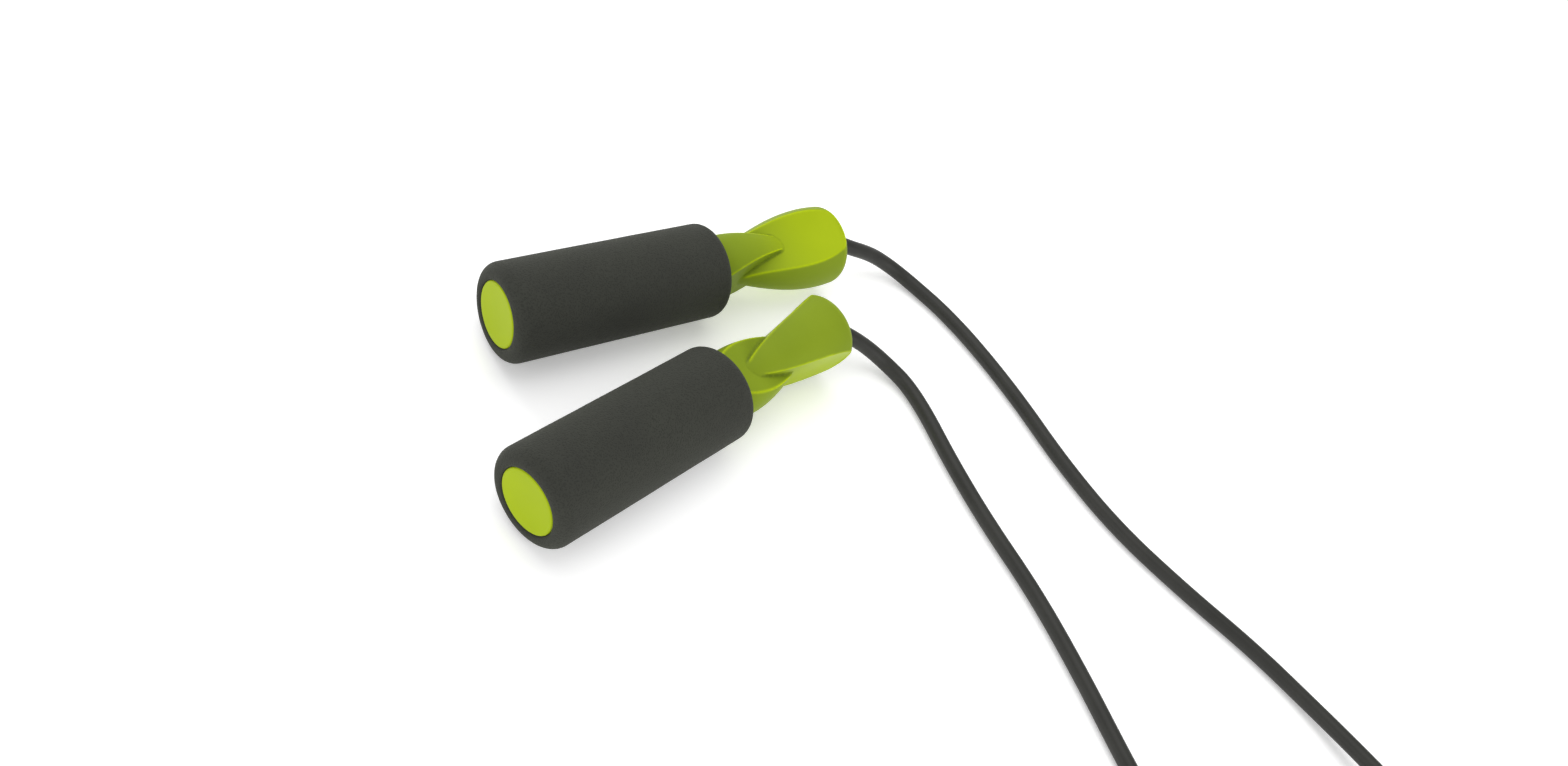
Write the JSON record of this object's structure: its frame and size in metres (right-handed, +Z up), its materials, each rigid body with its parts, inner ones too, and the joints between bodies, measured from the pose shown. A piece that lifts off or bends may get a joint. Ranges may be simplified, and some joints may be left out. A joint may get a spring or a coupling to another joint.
{
  "type": "jump rope",
  "caption": "Speed jump rope: round foam-covered handles with twisted plastic heads that spin on ball bearings at the ends of a free rope, laid flat with its spare length coiled.",
  "frame": {"origin": "on the ground plane, under the middle of the box round both handles", "axes": "+X the mean direction of the two heads, +Z up from the surface that the handles lie on"},
  "size_m": [0.24, 0.4361, 0.038],
  "materials": {
    "grip_foam": "matte closed-cell foam",
    "head_plastic": "satin lime green moulded plastic",
    "bearing_steel": "ground bearing steel",
    "ball_steel": "polished",
    "retainer_nylon": "natural nylon",
    "shield_steel": "pressed steel",
    "spring_steel": "blackened spring steel",
    "sleeve_metal": "turned",
    "stop_brass": "turned",
    "rope_cord": "satin solid cord"
  },
  "bodies": {
    "rope": {"left_rope": "rope_cord", "right_rope": "rope_cord", "rope_coil": "rope_cord", "left_inner_race": "bearing_steel", "left_rope_sleeve": "sleeve_metal", "left_thrust_washer": "sleeve_metal", "left_rope_stop": "stop_brass", "left_grub_screws": "spring_steel", "left_rope_end": "rope_cord", "right_inner_race": "bearing_steel", "right_rope_sleeve": "sleeve_metal", "right_thrust_washer": "sleeve_metal", "right_rope_stop": "stop_brass", "right_grub_screws": "spring_steel", "right_rope_end": "rope_cord"},
    "left_handle": {"left_foam_grip": "grip_foam", "left_core_tube": "head_plastic", "left_butt_cap": "head_plastic", "left_twist_head": "head_plastic", "left_outer_race": "bearing_steel", "left_front_shield": "shield_steel", "left_rear_shield": "shield_steel", "left_retaining_ring": "spring_steel"},
    "left_cage": {"left_bearing_balls": "ball_steel", "left_ball_retainer": "retainer_nylon"},
    "right_handle": {"right_foam_grip": "grip_foam", "right_core_tube": "head_plastic", "right_butt_cap": "head_plastic", "right_twist_head": "head_plastic", "right_outer_race": "bearing_steel", "right_front_shield": "shield_steel", "right_rear_shield": "shield_steel", "right_retaining_ring": "spring_steel"},
    "right_cage": {"right_bearing_balls": "ball_steel", "right_ball_retainer": "retainer_nylon"}
  },
  "joints": [
    {"name": "left_spin", "type": "hinge", "parent": "rope", "child": "left_handle", "pos_m": [0.08723, 0.01959, 0.019], "axis": [0.9935, -0.1142, 0], "continuous": true},
    {"name": "left_cage_spin", "type": "hinge", "parent": "rope", "child": "left_cage", "pos_m": [0.08723, 0.01959, 0.019], "axis": [0.9935, -0.1142, 0], "continuous": true},
    {"name": "right_spin", "type": "hinge", "parent": "rope", "child": "right_handle", "pos_m": [0.05363, -0.01959, 0.019], "axis": [0.9935, 0.1142, 0], "continuous": true},
    {"name": "right_cage_spin", "type": "hinge", "parent": "rope", "child": "right_cage", "pos_m": [0.05363, -0.01959, 0.019], "axis": [0.9935, 0.1142, 0], "continuous": true}
  ],
  "couplings": [
    {"joint": "left_cage_spin", "follows": "left_spin", "ratio": 0.5992},
    {"joint": "right_cage_spin", "follows": "right_spin", "ratio": 0.5992}
  ]
}
